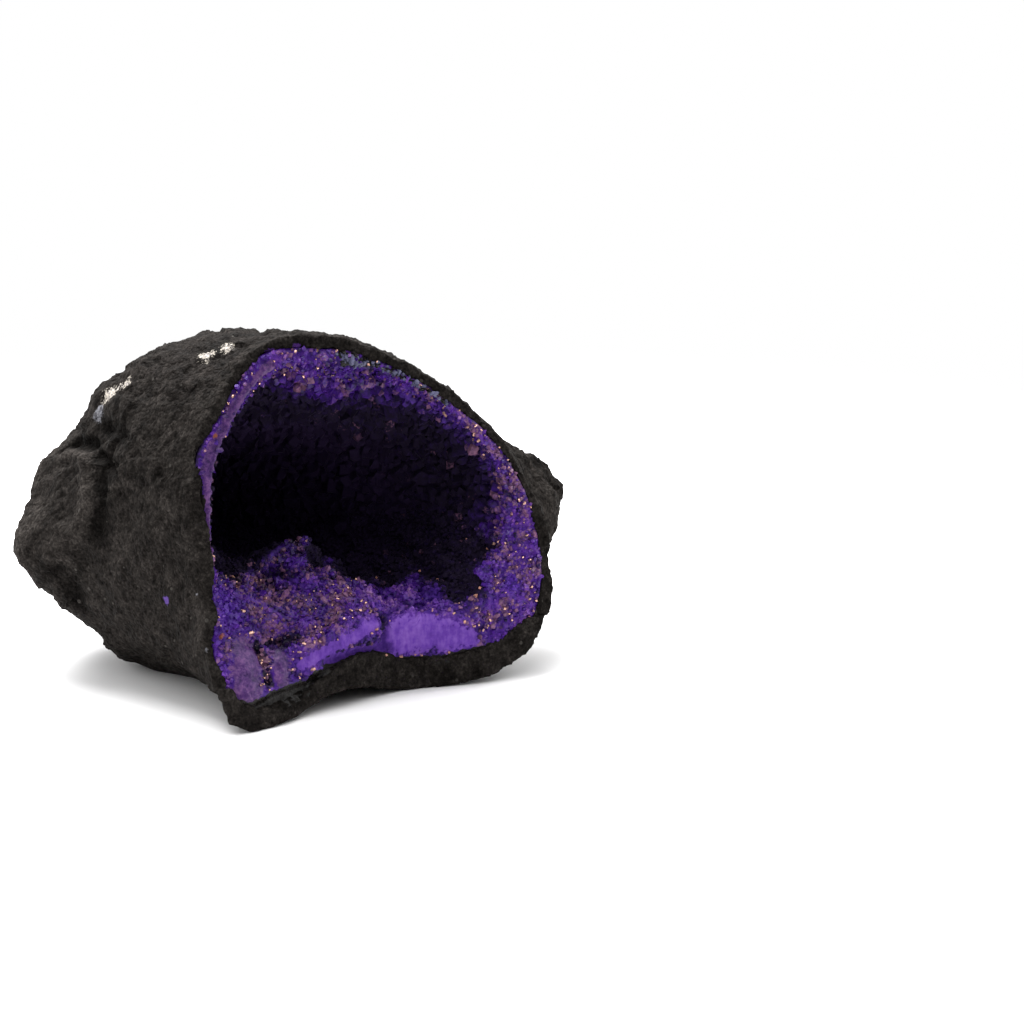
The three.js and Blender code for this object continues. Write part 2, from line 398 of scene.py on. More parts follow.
broad += height * craggy * ridges(places, spacing)
for line, push, half_width in FOLDS:
    relief += push * np.exp(-(from_line(places, line) / half_width) ** 2)

# The skin is moved, except where it stands on the table, and the rim is drawn over the band.
above_table = [(from_mouth @ Vector(p)).z for p in places]
worn = smooth_step(0, TABLE_WEAR, np.array(above_table))
moved = places + outward * ((broad + relief) * worn)[:, None]
below, left = beyond_band(places)
on_rim = smooth_step(8, 5, places[:, 1])
over_foot = on_rim * smooth_step(4.5, 1.0, below) * smooth_step(-1.5, 0.3, below)
over_side = on_rim * smooth_step(3.4, 1.0, left) * smooth_step(-1.5, 0.3, left)
over_side *= smooth_step(16, 12, places[:, 2]) * smooth_step(-13, -9, places[:, 2])
moved[:, 2] += RIM_OVERLAP * over_foot
moved[:, 0] += RIM_OVERLAP * over_side
moved[:, 1] -= RIM_STANDS * np.maximum(over_foot, over_side)
write_points(rock_mesh, moved)

paint(rock_mesh, "relief", relief)
streak = (1 - from_line(places, WHITE_STREAK) / STREAK_HALF_WIDTH).clip(0, 1)
paint(rock_mesh, "white_mineral", np.maximum(0.8 * near_spots(places, WHITE_MINERAL), streak))
paint(rock_mesh, "violet_spot", near_spots(places, VIOLET_SPOTS))
paint(rock_mesh, "pale_spot", 0.85 * near_spots(places, PALE_SPOTS))
paint(rock_mesh, "lilac_edge", near_spots(places, LILAC_EDGE))
rock_mesh.shade_smooth()
rock_mesh.transform(from_mouth)
rock = bpy.data.objects.new("host_rock", rock_mesh)
scene.collection.objects.link(rock)

# A mask with a ragged edge, which both the rock's spots and the patches of the lining have.
ragged_edge = bpy.data.node_groups.new("ragged_edge", "ShaderNodeTree")
for name in ("Mask", "Pattern", "From", "To", "Lowest", "Highest"):
    ragged_edge.interface.new_socket(name, in_out="INPUT", socket_type="NodeSocketFloat")
ragged_edge.interface.new_socket("Edged Mask", in_out="OUTPUT", socket_type="NodeSocketFloat")
given = ragged_edge.nodes.new("NodeGroupInput").outputs
total = add_node(ragged_edge, "ShaderNodeMath", {0: given["Mask"], 1: given["Pattern"]}, operation="ADD")
stretched = add_node(ragged_edge, "ShaderNodeMapRange", {
    "Value": total.outputs[0], "From Min": given["From"], "From Max": given["To"],
    "To Min": given["Lowest"], "To Max": given["Highest"],
})
add_node(ragged_edge, "NodeGroupOutput", {"Edged Mask": stretched.outputs["Result"]})


def edged(tree, mask, pattern, start, end, lowest=0.0, highest=1.0):
    """The mask with a pattern added, stretched between two levels, by the ragged_edge group."""
    return add_node(tree, "ShaderNodeGroup", {
        "Mask": mask, "Pattern": pattern, "From": start, "To": end, "Lowest": lowest, "Highest": highest,
    }, node_tree=ragged_edge).outputs["Edged Mask"]


def mixed(tree, share, below, above):
    """A colour laid over another one."""
    mix = add_node(tree, "ShaderNodeMix", data_type="RGBA")
    for index, value in ((0, share), (6, below), (7, above)):
        if isinstance(value, bpy.types.NodeSocket):
            tree.links.new(value, mix.inputs[index])
        else:
            mix.inputs[index].default_value = value
    return mix.outputs[2]


def noise_texture(tree, place, scale, detail, roughness=0.5):
    """A cloudy pattern, with this many clouds to the metre."""
    return add_node(tree, "ShaderNodeTexNoise", {
        "Vector": place, "Scale": scale, "Detail": detail, "Roughness": roughness,
    }).outputs["Fac"]


def scaled(tree, colour, amount):
    """A colour made lighter or darker."""
    lit = add_node(tree, "ShaderNodeVectorMath", {0: colour, "Scale": amount}, operation="SCALE")
    return lit.outputs["Vector"]


rock_coat, tree, output = new_material("charcoal_rock")
place = add_node(tree, "ShaderNodeTexCoord").outputs["Object"]
mottle = noise_texture(tree, place, 260, 6, 0.65)
grit = noise_texture(tree, place, 2400, 3, 0.75)
ragged = noise_texture(tree, place, 800, 6, 0.75)
grains = add_node(tree, "ShaderNodeTexVoronoi", {"Vector": place, "Scale": 1900, "Randomness": 1.0})
pinpoints = add_node(tree, "ShaderNodeTexVoronoi", {"Vector": place, "Scale": 700, "Randomness": 1.0})

grit_light = add_node(tree, "ShaderNodeMapRange", {
    "Value": grit, "From Min": 0.40, "From Max": 0.64, "To Min": 0.75, "To Max": 1.7,
})
grain_tone = add_node(tree, "ShaderNodeSeparateXYZ", {0: grains.outputs["Color"]})
grain_light = add_node(tree, "ShaderNodeMapRange", {
    "Value": grain_tone.outputs["X"], "To Min": 0.7, "To Max": 1.4,
})
light_or_dark = add_node(tree, "ShaderNodeMath", {
    0: grit_light.outputs["Result"], 1: grain_light.outputs["Result"],
}, operation="MULTIPLY")
gritty = scaled(tree, colour_ramp(tree, mottle, *COAT), light_or_dark.outputs[0])

# The coat is painted lighter where the skin stands proud and darker in its dents, as painted light and
# shade.
fine_relief = add_node(tree, "ShaderNodeMapRange", {
    "Value": ragged, "From Min": 0.3, "From Max": 0.7, "To Min": -0.45, "To Max": 0.45,
})
relief_read = add_node(tree, "ShaderNodeAttribute", attribute_name="relief").outputs["Fac"]
whole_relief = add_node(tree, "ShaderNodeMath", {
    0: relief_read, 1: fine_relief.outputs["Result"],
}, operation="ADD")
relief_light_and_shade = add_node(tree, "ShaderNodeMapRange", {
    "Value": whole_relief.outputs[0], "From Min": -0.5, "From Max": 0.5, "To Min": 0.45, "To Max": 1.65,
})
colour = scaled(tree, gritty, relief_light_and_shade.outputs["Result"])

# A few pinpoints are paler.
chosen = add_node(tree, "ShaderNodeSeparateXYZ", {0: pinpoints.outputs["Color"]})
small = add_node(tree, "ShaderNodeMath", {
    0: pinpoints.outputs["Distance"], 1: chosen.outputs["X"],
}, operation="SUBTRACT")
speck_share = add_node(tree, "ShaderNodeMapRange", {
    "Value": small.outputs[0], "From Min": -0.72, "From Max": -0.80,
})
colour = mixed(tree, speck_share.outputs["Result"], colour, PINPOINT)

speckle = add_node(tree, "ShaderNodeMix", {2: ragged, 3: grit}).outputs[0]
for spot, edge, paint_over in (
    ("white_mineral", 1.1, colour_ramp(tree, grit, *CREAM)),
    ("violet_spot", 1.1, VIOLET),
    ("lilac_edge", 1.05, LILAC),
    ("pale_spot", 1.1, colour_ramp(tree, ragged, *GREY_SMEAR)),
):
    painted_spot = add_node(tree, "ShaderNodeAttribute", attribute_name=spot).outputs["Fac"]
    colour = mixed(tree, edged(tree, painted_spot, speckle, edge, edge + SPOT_EDGE), colour, paint_over)

fine_bump = add_node(tree, "ShaderNodeBump", {
    "Height": grains.outputs["Distance"], "Strength": 0.6, "Distance": 0.0003,
}, invert=True)
bump = add_node(tree, "ShaderNodeBump", {
    "Height": noise_texture(tree, place, 650, 3, 0.45), "Normal": fine_bump.outputs["Normal"],
    "Strength": 0.7, "Distance": 0.0012,
})
dullness = add_node(tree, "ShaderNodeMapRange", {
    "Value": mottle, "From Min": 0.3, "From Max": 0.7, "To Min": 0.5, "To Max": 0.85,
})
coat = add_node(tree, "ShaderNodeBsdfPrincipled", {
    "Base Color": colour, "Roughness": dullness.outputs["Result"], "Specular IOR Level": 0.015,
    "Normal": bump.outputs["Normal"],
})
tree.links.new(coat.outputs["BSDF"], output.inputs["Surface"])
rock_mesh.materials.clear()
rock_mesh.materials.append(rock_coat)
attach(rock, "root")
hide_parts("rock_shell")

# ---- Calcite lining ----
# The layer of dyed calcite that the crystals stand on, grown fast to the rock. It shows as a band on the
# broken face, as light slabs along the mouth's lower edge, and as lumps on the floor.

LINING_GRID = 0.5
SEAM_SWELL = 0.45  # pushes the skin on the rock's side into the rock, so that no gap shows
# Each unevenness: how high, and how far apart.
WALL_KNOBS = (0.55, 3.2)
FACE_CHIPS = (0.45, 1.4)
FLOOR_KNOBS = ((1.9, 4.0), (0.6, 1.9))
SUGAR = (0.2, 1.0)  # fine roughness of face and hollow
SLABS_LEVEL = 0.7  # how far the slabs are free of all of these
UNDER_RIM = 1.2  # how far the band is set back where the rock's rim laps over it
HOLLOW_AXIS = ((-2, 0, 3), (-8, 45, 7))
MOUTH_CENTRE = (-4, 6)  # x, z: what the compass points turn around
# How deep the light reaches, at eight compass points anticlockwise from the right, and over what depth it
# fades to painted shade. Behind, and in a few pockets, the colour is painted dark as shade: middle, radius.
LIT_DEPTH = (-5.0, -1.0, 6.0, 0.0, -2.0, 10.5, 9.0, 10.0)
LIT_FADE = (16, 12, 6, 2.5, 2, 4, 5, 4)
SHADED_POCKETS = (((21, 6.5, -8), 3.2), ((16.5, 4, -11.5), 3.0), ((17, 9, -6.5), 3.5), ((-6, 10.5, -3), 1.6))
# The light chalky slabs, and the dusty skin of the left lip and of the steep blocks at the lower left: a
# line of points, half its width.
SLABS = (
    (((3, 2, -17.8), (8, 1.5, -18)), 3.2),
    (((8, 1.5, -18.3), (12, 1, -18.8)), 2.5),
    (((12, 1, -18.8), (15, 0.5, -19.6)), 1.5),
    (((-17, 0, -19.4), (-13, 0, -18.2), (-8, 0, -16.8), (-4, 1, -15.6), (-2, 1, -14.8)), 1.0),
    (((-11.5, 0, -19.6), (-5, 1, -18.6), (1, 2.5, -19.2)), 0.8),
)
DUSTY = (
    (((-29, 0, 2), (-28.5, 0, 8), (-28, 0, 14), (-22, 0, 22), (-15, 0, 28)), 1.1),
    (((-26.2, 0, -16), (-27.8, -2, -22.6)), 2.6),
    (((-20, 0, -16), (-21, -1, -21.3)), 1.3),
)
# Grooves, notches and the set-back slab, painted darker as shade: a line of points, half its width.
SHADED_LINES = (
    (((0.3, 2, -13.5), (0, 2.5, -17.8)), 0.9),
    (((-23, 1, -15), (-23.3, -1, -21.3)), 0.9),
    (((-20, 1, -15.4), (-16.5, 1, -14.6)), 1.4),
    (((-11.5, 0, -19.8), (-5, 1, -18.8), (1, 2.5, -19.4)), 1.1),
)
# Lumpy brows over the slabs: a line of points, half its width.
BROWS = (
    (((2, 2, -13), (9, 1.5, -13.6), (15, 0.5, -15.5)), 1.8),
    (((-24, 1, -12), (-16, 0, -14.5), (-9, 0, -13), (-3, 1, -11.5)), 2.2),
)
BROW_LUMPS = (1.1, 2.6)
# Ledges, grooves, set-back strips and mounds: a line of points, how far it pushes, half its width.
LINING_FOLDS = (
    (((-5.5, 8.5, -3.5), (-6, 12, -3)), -2.5, 2.2),
    (((-11, 9, -0.5), (-11, 12, -0.5)), 0.9, 2.0),
    (((3, 2, -14.8), (9, 1.5, -15.2), (15, 0.5, -17)), 0.9, 0.9),
    (((-16, 0, -17), (-9, 0.2, -14.4), (-3, 1, -12.6)), 0.9, 0.9),
    (((-11.5, 0, -19.7), (-5.2, 1, -18.8), (1, 2.5, -19.2)), -1.3, 0.8),
    (((0.3, 2, -13.5), (0, 2.5, -17.8)), -2.4, 0.8),
    (((-23, 1, -15), (-23.3, -1, -21.3)), -1.5, 0.6),
    (((-20, 1, -15.4), (-16.5, 1, -14.6)), -1.8, 1.0),
    (((-26.2, 0, -16), (-27.8, -2, -22.6)), 0.6, 1.6),
    (((-20, 0.5, -16), (-21, -1, -21.3)), 0.5, 1.0),
)
# Where a rosy film of dye lies thicker: middle, radius.
ROSY = (
    ((25, 0, 4), 7), ((24, 0, -10), 6), ((-14, 2, -11), 6), ((16, 0, -14.5), 2.5), ((-24, 0, -18), 4),
    ((16, 0, 18), 3.5), ((21, 0, 14), 3.5), ((25, 0, 10), 4), ((-20, 4, -7), 5), ((-6, 4, -9), 5),
)
# The band's edge at the upper right, with bare specks where the dye didn't reach, and the mouth's left lip.
BARE_EDGE = (
    (-2.1, 0, 28.2), (2.3, 0, 25.9), (5.8, 0, 23.8), (8.3, 0, 22.4), (11.8, 0, 20.6), (14.7, 0, 18.8),
)
BARE_HALF_WIDTH = 1.3
LEFT_LIP = ((-29.5, 0, -12), (-29, 0, 2), (-28.5, 0, 8), (-28, 0, 14), (-22, 0, 22), (-15, 0, 28))
# Strongest dye, partly painted light on the floor; bluest dye; rusty spots: middle, radius.
STRONG_DYE_AND_LIGHT = (((4, 3, -11), 4.0), ((7, 7, -11), 4.0), ((11, 4, -12.5), 3.0))
BLUEST = (((-27.2, 2.4, -8.6), 2.8), ((0, 3, -11.5), 1.2), ((24, 0, -12), 1.3), ((11.5, 5, -12), 1.4))
RUSTY = (((-25.9, 0, 18.2), 0.6), ((-29.5, 0, -8.5), 0.5), ((-30, 0, -13), 0.5))
# How strongly the calcite is dyed: everywhere, how cloudily, how much more on the face; and how much
# painted shade darkens the creases of the floor.
DYE_AND_CREASE_SHADE = (0.47, 0.22, 0.06, 0.22)
MORE_DYE_AND_LIGHT = 0.4  # where it is strongest, partly as painted light
GROOVE_SHADE = 0.8  # painted shade in the grooves
# How much rosy film there is: everywhere, how cloudily, how much more where it lies thicker, and how much
# less on strong or blue dye.
FILMED = (0.27, 0.4, 0.25, 0.6)
# Colours, at their positions along a ramp or plain.
DYE = (
    (0.0, (0.0085, 0.0040, 0.018)), (0.22, (0.015, 0.0055, 0.046)), (0.5, (0.055, 0.013, 0.21)),
    (0.72, (0.12, 0.037, 0.31)), (0.88, (0.22, 0.090, 0.34)), (1.0, (0.36, 0.19, 0.40)),
)
BLUE_DYE = ((0.3, (0.035, 0.009, 0.15)), (0.7, (0.12, 0.038, 0.40)))
ROSY_FILM = ((0.3, (0.075, 0.03, 0.085)), (0.7, (0.34, 0.16, 0.24)))
CHALK = ((0.0, (0.055, 0.017, 0.19)), (0.5, (0.13, 0.046, 0.36)), (1.0, (0.23, 0.105, 0.47)))
DUST = ((0.0, (0.028, 0.011, 0.065)), (0.5, (0.075, 0.030, 0.135)), (1.0, (0.16, 0.070, 0.21)))
RUST = (0.24, 0.075, 0.04, 1)
RIND = ((0.3, (0.0035, 0.0030, 0.0028)), (0.7, (0.014, 0.012, 0.011)))
UNDYED = ((0.3, (0.045, 0.045, 0.09)), (0.7, (0.17, 0.17, 0.29)))
HOLLOW_SHADE = (0.023, 0.012, 0.046, 1)
BRONZE = (0.68, 0.40, 0.31, 1)


def near_lines(places, lines):
    """1 along the lines, 0.5 at their half widths, falling to 0."""
    return np.max([1 - from_line(places, line) / (2 * half) for line, half in lines], axis=0).clip(0, 1)


def toward_hollow(places):
    """Directions from places to the hollow's axis, a little nearer the mouth than the places are."""
    start, end = np.array(HOLLOW_AXIS[0]), np.array(HOLLOW_AXIS[1])
    share = np.clip(places[:, 1] / end[1], 0, 1) * 0.6
    aim = start + share[:, None] * (end - start) - places
    return aim / np.linalg.norm(aim, axis=1)[:, None]


def lining_zones(places, outward):
    """How much each place is on the broken face, in the hollow, and on the hollow's floor."""
    face = smooth_step(0.35, 0.75, -outward[:, 1]) * smooth_step(7, 4.5, places[:, 1])
    inside = smooth_step(0.05, 0.3, np.sum(outward * toward_hollow(places), axis=1)) * (1 - face)
    return face, inside, inside * smooth_step(0.15, 0.5, outward[:, 2])


def shaded_by_depth(places):
    """0 where the light reaches, 1 deep in the hollow."""
    turn = np.arctan2(places[:, 2] - MOUTH_CENTRE[1], places[:, 0] - MOUTH_CENTRE[0])
    compass = np.arange(8) * pi / 4
    reach = np.interp(turn, compass, LIT_DEPTH, period=2 * pi)
    fade = np.interp(turn, compass, LIT_FADE, period=2 * pi)
    return smooth_step(reach, reach + fade, places[:, 1])


lining_mesh = solid_of("calcite_lining", LINING_GRID)
places, outward = read_points(lining_mesh)
places = broadened(places)
face, inside, on_floor = lining_zones(places, outward)
height, spacing = WALL_KNOBS
relief = height * inside * cell_bumps(places, spacing)
height, spacing = FACE_CHIPS
relief += height * face * chipped(places, spacing)
coarse_knobs, fine_knobs = FLOOR_KNOBS
height, spacing = coarse_knobs
lumps = cell_bumps(places + 9, spacing)
relief += height * on_floor * lumps
height, spacing = fine_knobs
relief += height * on_floor * cell_bumps(places, spacing)
height, spacing = SUGAR
relief += height * (face + inside) * fractal(places, spacing, 3)
relief += SEAM_SWELL * np.clip(1 - face - inside, 0, 1)
height, spacing = BROW_LUMPS
on_brows = face * smooth_step(0.1, 0.5, near_lines(places, BROWS))
relief += height * on_brows * (0.3 + cell_bumps(places, spacing))
chalk = near_lines(places, SLABS) * face
dusty = near_lines(places, DUSTY) * face
relief *= 1 - SLABS_LEVEL * smooth_step(0.3, 0.6, chalk)
for line, push, half_width in LINING_FOLDS:
    relief += push * (face + inside) * np.exp(-(from_line(places, line) / half_width) ** 2)
covered = np.maximum(*beyond_band(places))
relief -= UNDER_RIM * face * smooth_step(0, 1.2, covered)
write_points(lining_mesh, places + outward * relief[:, None])

# What the dye does at each place, with painted shade in the hollow, its pockets, creases and grooves.
pockets = smooth_step(0, 0.5, near_spots(places, SHADED_POCKETS))
depth_shade = np.maximum(shaded_by_depth(places) * (1 - face), pockets)
clouding = fractal(places, 4.0, 4)
# Painted shade in the creases between the floor's lumps.
creased = on_floor * smooth_step(0.35, -0.2, lumps)
everywhere, cloudy, on_face, in_creases = DYE_AND_CREASE_SHADE
tint = (everywhere + cloudy * clouding + on_face * face - in_creases * creased) * (1 - depth_shade)
# Stronger dye, which also paints light onto the front of the floor.
tint += MORE_DYE_AND_LIGHT * near_spots(places, STRONG_DYE_AND_LIGHT) * (1 - depth_shade)
# Painted shade in the grooves, notches and set-back slab.
tint *= 1 - GROOVE_SHADE * face * smooth_step(0.3, 0.6, near_lines(places, SHADED_LINES))
rind = (0.5 + covered / 1.6).clip(0, 1)
bare = face * smooth_step(0.1, 0.5, near_lines(places, ((BARE_EDGE, BARE_HALF_WIDTH),)))
everywhere, cloudy, thicker, thinner = FILMED
rosy = everywhere + cloudy * fractal(places + 3, 3.0, 3) + thicker * near_spots(places, ROSY)
rosy -= thinner * np.maximum(near_spots(places, STRONG_DYE_AND_LIGHT), near_spots(places, BLUEST))
# The rosy film fades too where the shade is painted.
rosy = rosy.clip(0, 1) * (1 - depth_shade)
# Painted shade, deepening towards the back of the hollow; the material paints the farthest part flat dark
# violet and dull.
deep = depth_shade + inside * smooth_step(14, 30, places[:, 1])
# What the material reads. Every crystal takes these over from the place where it stands.
LAYERS = {
    "tint": tint,
    "chalk": chalk,
    "dusty": dusty,
    "rind": np.maximum(rind, 0.8 * bare),
    "rosy": rosy,
    "rusty": near_spots(places, RUSTY),
    "dark": deep,
    "bare": 0.5 * bare,
    "glint": np.zeros(len(places)),
    "blue": near_spots(places, BLUEST),
}
for name, values in LAYERS.items():
    paint(lining_mesh, name, values)
lining_mesh.shade_smooth()

calcite, tree, output = new_material("dyed_calcite")
place = add_node(tree, "ShaderNodeTexCoord").outputs["Object"]
clouds = noise_texture(tree, place, 900, 4, 0.6)
specks = noise_texture(tree, place, 2100, 3, 0.6)
upright = add_node(tree, "ShaderNodeMapping", {"Vector": place, "Scale": (1, 1, 0.22)})
fibres = noise_texture(tree, upright.outputs["Vector"], 1200, 4)
painted = {
    name: add_node(tree, "ShaderNodeAttribute", attribute_name=name).outputs["Fac"] for name in LAYERS
}
cloudy_fibres = add_node(tree, "ShaderNodeMath", {0: clouds, 1: fibres}, operation="ADD").outputs[0]
powder = add_node(tree, "ShaderNodeMath", {0: clouds, 1: specks}, operation="ADD").outputs[0]

colour = colour_ramp(tree, edged(tree, painted["tint"], clouds, 0.3, 1.7, -0.2, 1.2), *DYE)
chalky = colour_ramp(tree, edged(tree, cloudy_fibres, painted["tint"], 1.0, 2.0), *CHALK)
dust = colour_ramp(tree, edged(tree, powder, painted["tint"], 1.2, 1.8), *DUST)
for name, pattern, start, end, most, paint_over in (
    ("blue", specks, 0.75, 1.05, 1.0, colour_ramp(tree, clouds, *BLUE_DYE)),
    ("rosy", specks, 0.9, 1.15, 0.85, colour_ramp(tree, clouds, *ROSY_FILM)),
    ("chalk", clouds, 0.96, 1.04, 1.0, chalky),
    ("dusty", clouds, 0.92, 1.08, 1.0, dust),
    ("rusty", clouds, 1.0, 1.2, 1.0, RUST),
    ("rind", clouds, 0.96, 1.04, 1.0, colour_ramp(tree, clouds, *RIND)),
    ("bare", clouds, 0.95, 1.05, 1.0, colour_ramp(tree, clouds, *UNDYED)),
):
    colour = mixed(tree, edged(tree, painted[name], pattern, start, end, 0.0, most), colour, paint_over)
# The farthest part of the hollow is painted a flat dark violet, as painted shade.
farthest = add_node(tree, "ShaderNodeMapRange", {
    "Value": painted["dark"], "From Min": 1.0, "From Max": 2.0,
})
colour = mixed(tree, farthest.outputs["Result"], colour, HOLLOW_SHADE)
colour = mixed(tree, painted["glint"], colour, BRONZE)
dull = edged(tree, painted["chalk"], painted["dark"], 0.0, 0.6, 0.26, 0.9)
grain_bump = add_node(tree, "ShaderNodeBump", {"Height": specks, "Strength": 0.5, "Distance": 0.0002})
fibre_bump = add_node(tree, "ShaderNodeBump", {
    "Height": fibres, "Normal": grain_bump.outputs["Normal"], "Strength": 0.4, "Distance": 0.0003,
})
crystal = add_node(tree, "ShaderNodeBsdfPrincipled", {
    "Base Color": colour, "Roughness": dull, "Metallic": painted["glint"], "IOR": 1.5,
    "Specular IOR Level": 0.2, "Normal": fibre_bump.outputs["Normal"],
})
tree.links.new(crystal.outputs["BSDF"], output.inputs["Surface"])


def finish_calcite(mesh, name):
    mesh.transform(from_mouth)
    mesh.materials.clear()
    mesh.materials.append(calcite)
    piece = bpy.data.objects.new(name, mesh)
    scene.collection.objects.link(piece)
    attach(piece, "root")
    return piece


# ---- Crystals of the roof and walls ----
# Blocky calcite crystals, one to two millimetres across, that grew side by side into the hollow. Each is a
# short six-sided prism with a three-faced tip, or a slanted block.

# For a crystal one millimetre across: radius at the foot, radius at the shoulder, height.
PRISM = (0.5, 0.44, 1.5)
TIP_SLOPES = (radians(44), radians(58))
BLOCK = 0.8  # edge, for a block one millimetre across
BLOCK_SLANT = 0.22
FILM_SPREAD = 0.2  # how unevenly the rosy film lies on single crystals
LARGER = (1, 1, 1, 1.4)  # every fourth crystal or so is larger
SEAT_SEED = 11
# Each: the gap between crystals, and their smallest and largest width.
WALL_CRYSTALS = (1.25, (1.2, 2.1))
ROOF_CRYSTALS = (0.95, (1.0, 1.6))
CRYSTAL_LEAN = 0.3
CRYSTAL_TINTS = 0.07  # how much the dye differs between them
CRYSTAL_SEED = 13
LIP_KEPT_CLEAR = 4.5  # no large crystals stand nearer to the left lip,
FACE_KEPT_CLEAR = 2.5  # or to the broken face


def crystal_shape(slope, foot, shoulder, height):
    """One crystal along +Z, half in the ground: a prism cut by three faces that meet at its tip."""
    shape = bmesh.new()
    bmesh.ops.create_cone(shape, cap_ends=True, segments=6, radius1=foot, radius2=shoulder, depth=height)
    for turn in (0, 1, 2):
        tilt = Matrix.Rotation(turn * 2 * pi / 3 + 0.5, 3, "Z") @ Matrix.Rotation(slope, 3, "Y")
        cut = bmesh.ops.bisect_plane(
            shape, geom=shape.verts[:] + shape.edges[:] + shape.faces[:], clear_outer=True,
            plane_co=(0, 0, height / 2), plane_no=tilt @ Vector((0, 0, 1)),
        )
        edges = [part for part in cut["geom_cut"] if isinstance(part, bmesh.types.BMEdge)]
        bmesh.ops.edgeloop_fill(shape, edges=edges)
    bmesh.ops.recalc_face_normals(shape, faces=shape.faces[:])
    mesh = bpy.data.meshes.new("crystal")
    shape.to_mesh(mesh)
    shape.free()
    return mesh


def slanted_block():
    """A rhombohedron one millimetre across, standing on a corner."""
    shape = bmesh.new()
    bmesh.ops.create_cube(shape, size=BLOCK)
    shear = Matrix(((1, BLOCK_SLANT, BLOCK_SLANT), (0, 1, BLOCK_SLANT), (0, 0, 1))).to_4x4()
    on_corner = Vector((1, 1, 1)).rotation_difference(Vector((0, 0, 1))).to_matrix().to_4x4()
    shape.transform(on_corner @ shear)
    mesh = bpy.data.meshes.new("block")
    shape.to_mesh(mesh)
    shape.free()
    return mesh


blocky = [crystal_shape(slope, *PRISM) for slope in TIP_SLOPES] + [slanted_block()]


def choose_seats(places, wanted, gap, chance):
    """Points of a skin at least a gap apart, picked in a random order where wanted allows them."""
    order = np.nonzero(wanted > 0.5)[0]
    chance.shuffle(order)
    taken, seats = {}, []
    for index in order:
        p = places[index]
        cell = tuple((p // gap).astype(int))
        near = [
            q for dx in (-1, 0, 1) for dy in (-1, 0, 1) for dz in (-1, 0, 1)
            for q in taken.get((cell[0] + dx, cell[1] + dy, cell[2] + dz), ())
        ]
        if all(np.sum((p - q) ** 2) >= gap * gap for q in near):
            taken.setdefault(cell, []).append(p)
            seats.append(index)
    return np.array(seats)


def grow(name, seats, places, outward, sizes, tilt, paints, seed):
    """Crystals standing on their seats, each with its own size, lean and turn, painted one by one."""
    chance = random.Random(seed)
    joined = bmesh.new()
    counts = []
    for index in seats:
        size = chance.uniform(*sizes) * chance.choice(LARGER)
        lean = Vector((chance.gauss(0, tilt), chance.gauss(0, tilt), chance.gauss(0, tilt)))
        up = (Vector(outward[index]) + lean).normalized()
        stand = up.to_track_quat("Z", "Y").to_matrix().to_4x4()
        turned = stand @ Matrix.Rotation(chance.uniform(0, 6.3), 4, "Z")
        width = size * chance.uniform(0.8, 1.2)
        height = size * chance.uniform(0.75, 1.3)
        single = chance.choice(blocky).copy()
        stretch = Matrix.Diagonal((width, size, height, 1))
        single.transform(Matrix.Translation(Vector(places[index])) @ turned @ stretch)
        joined.from_mesh(single)
        counts.append(len(single.vertices))
        bpy.data.meshes.remove(single)
    mesh = bpy.data.meshes.new(name)
    joined.to_mesh(mesh)
    joined.free()
    film = LAYERS["rosy"][seats] + np.random.default_rng(seed).normal(0, FILM_SPREAD, len(seats))
    paints = {"rosy": film} | paints
    for layer, values in LAYERS.items():
        paint(mesh, layer, np.repeat(paints.get(layer, values[seats]), counts))
    return finish_calcite(mesh, name)


places, outward = read_points(lining_mesh)
chance = np.random.default_rng(SEAT_SEED)
walls = inside * (1 - on_floor)
near_lip = (from_line(places, LEFT_LIP) < LIP_KEPT_CLEAR) | (places[:, 1] < FACE_KEPT_CLEAR)
on_wall = walls * ~near_lip
in_front = smooth_step(14, 10, places[:, 1]) * smooth_step(12, 8, places[:, 0])
in_front = np.maximum(in_front, smooth_step(7, 5, places[:, 1]))
for name, wanted, (gap, sizes) in (
    ("wall_crystals", on_wall * (1 - in_front), WALL_CRYSTALS),
    ("roof_crystals", on_wall * in_front, ROOF_CRYSTALS),
):
    seats = choose_seats(places, wanted, gap, chance)
    tints = tint[seats] + chance.normal(0, CRYSTAL_TINTS, len(seats)) * (1 - depth_shade[seats])
    grow(name, seats, places, outward, sizes, CRYSTAL_LEAN, {"tint": tints}, CRYSTAL_SEED)

# ---- Druse of the floor ----
# A crust of small calcite crystals, grown on the floor's lumps. They are finer than those of the walls, and
# stand closer and less upright.

DRUSE = (0.58, (0.5, 0.85))  # gap, widths
DRUSE_LEAN = 0.45
DRUSE_TINTS = 0.09
DRUSE_SEED = 2

gap, sizes = DRUSE
seats = choose_seats(places, on_floor * (chalk < 0.5), gap, chance)
tints = tint[seats] + chance.normal(0, DRUSE_TINTS, len(seats)) * (1 - depth_shade[seats])
grow("floor_druse", seats, places, outward, sizes, DRUSE_LEAN, {"tint": tints}, DRUSE_SEED)

# ---- Grains of the broken face ----
# Where the lining broke it shows a sugary band of calcite grains, level with the face. They thin out over
# the chalky slabs and the dusty skin, and some along the band's edge are bare of dye.

BAND_GRAINS = (0.55, (0.4, 0.7))  # gap, widths
GRAIN_LEAN = 0.6
GRAIN_TINTS = 0.1
BAND_SEED = 3
THINNING = (0.25, 0.6)  # grains end somewhere between these values of chalk and dust
BARE_SHARES = (0.25, 0.5)  # of the grains at the bare edge: dark up to the first, undyed from the second

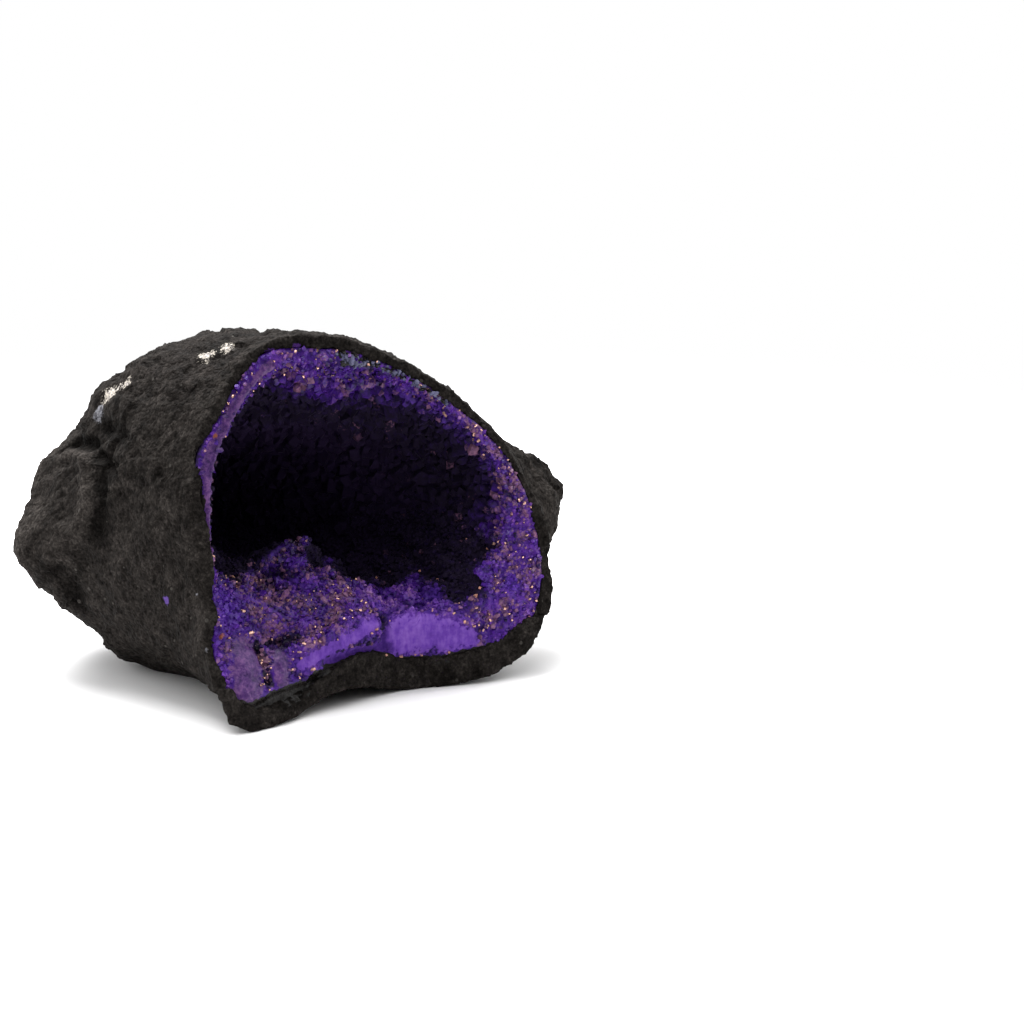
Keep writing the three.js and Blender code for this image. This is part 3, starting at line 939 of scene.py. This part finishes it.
thinning = THINNING[0] + (THINNING[1] - THINNING[0]) * chance.random(len(places))
on_band = np.maximum(face, walls * near_lip) * (np.maximum(chalk, dusty) < thinning) * (rind < 0.42)
gap, sizes = BAND_GRAINS
seats = choose_seats(places, on_band, gap, chance)
tints = tint[seats] + chance.normal(0, GRAIN_TINTS, len(seats))
kind = chance.random(len(seats)) * (bare[seats] > 0.3)
dark_below, undyed_above = BARE_SHARES
kinds = {
    "tint": tints,
    "bare": (kind > undyed_above) * 1.0,
    "rind": ((kind > 0) & (kind < dark_below)) * 1.0,
}
grow("band_grains", seats, places, outward, sizes, GRAIN_LEAN, kinds, BAND_SEED)

# ---- Bronze sparkles ----
# Tiny calcite crystals with a film of dried dye that shines like bronze. They sit on the other crystals,
# mostly on the floor and low on the band.

SPARKLES = (1.0, (0.22, 0.42))  # gap, widths
SPARKLES_LIFTED = 0.25  # onto the crystals under them
SPARKLE_SEED = 4

gap, sizes = SPARKLES
seats = choose_seats(places, np.maximum(on_floor, on_band), gap, chance)
seats = seats[chance.random(len(seats)) < rosy[seats]]
lifted = places + SPARKLES_LIFTED * outward
shiny = {"glint": np.ones(len(seats)), "bare": np.zeros(len(seats))}
grow("bronze_sparkles", seats, lifted, outward, sizes, GRAIN_LEAN, shiny, SPARKLE_SEED)

# ---- Spur of the mouth ----
# A broken tooth of dyed calcite at the lower right, part of the lining, that stands out into the mouth,
# level with the face. Its broken side carries the same grains as the band.

SPUR_OUTLINE = ((17.0, -9.1), (19.8, -7.6), (23.5, -6.8), (23.0, -13.5), (19.2, -13.0), (18.6, -11.2))
SPUR_FRONT = -0.35
SPUR_THICK = 2.6
SPUR_BACK_SHIFT = 1.2  # its back lies farther right than its front
SPUR_BEND = (21, 0.5)  # right of this x it slopes back this steeply, into the band
SPUR_CUTS = 9
SPUR_CHIPS = (0.4, 1.3)
SPUR_GRAINS = (0.6, (0.4, 0.7))  # gap, widths
SPUR_SEED = 5

shape = bmesh.new()
bend, slope = SPUR_BEND
outline = [shape.verts.new((x, SPUR_FRONT + max(x - bend, 0) * slope, z)) for x, z in SPUR_OUTLINE]
front = shape.faces.new(outline)
back = bmesh.ops.extrude_face_region(shape, geom=[front])["geom"]
behind = [part for part in back if isinstance(part, bmesh.types.BMVert)]
bmesh.ops.translate(shape, verts=behind, vec=(SPUR_BACK_SHIFT, SPUR_THICK, 0))
bmesh.ops.recalc_face_normals(shape, faces=shape.faces[:])
bmesh.ops.triangulate(shape, faces=shape.faces[:])
bmesh.ops.subdivide_edges(shape, edges=shape.edges[:], cuts=SPUR_CUTS, use_grid_fill=True)
spur_mesh = bpy.data.meshes.new("broken_spur")
shape.to_mesh(spur_mesh)
shape.free()
places, outward = read_points(spur_mesh)
height, spacing = SPUR_CHIPS
relief = height * chipped(places, spacing) + 0.15 * fractal(places, 0.9, 3)
write_points(spur_mesh, places + outward * relief[:, None])
LAYERS = dict.fromkeys(LAYERS, np.zeros(len(places)))
LAYERS["tint"] = 0.5 + 0.2 * fractal(places, 1.5, 3)
LAYERS["rosy"] = 0.3 + 0.3 * fractal(places + 3, 2.0, 3)
for name, values in LAYERS.items():
    paint(spur_mesh, name, values)
gap, sizes = SPUR_GRAINS
seats = choose_seats(places, (outward[:, 1] < -0.6) * 1.0, gap, chance)
tints = LAYERS["tint"][seats] + chance.normal(0, GRAIN_TINTS, len(seats))
grow("spur_grains", seats, places, outward, sizes, GRAIN_LEAN, {"tint": tints}, SPUR_SEED)
finish_calcite(spur_mesh, "broken_spur")

lining = finish_calcite(lining_mesh, "calcite_crust")
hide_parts("calcite_lining")
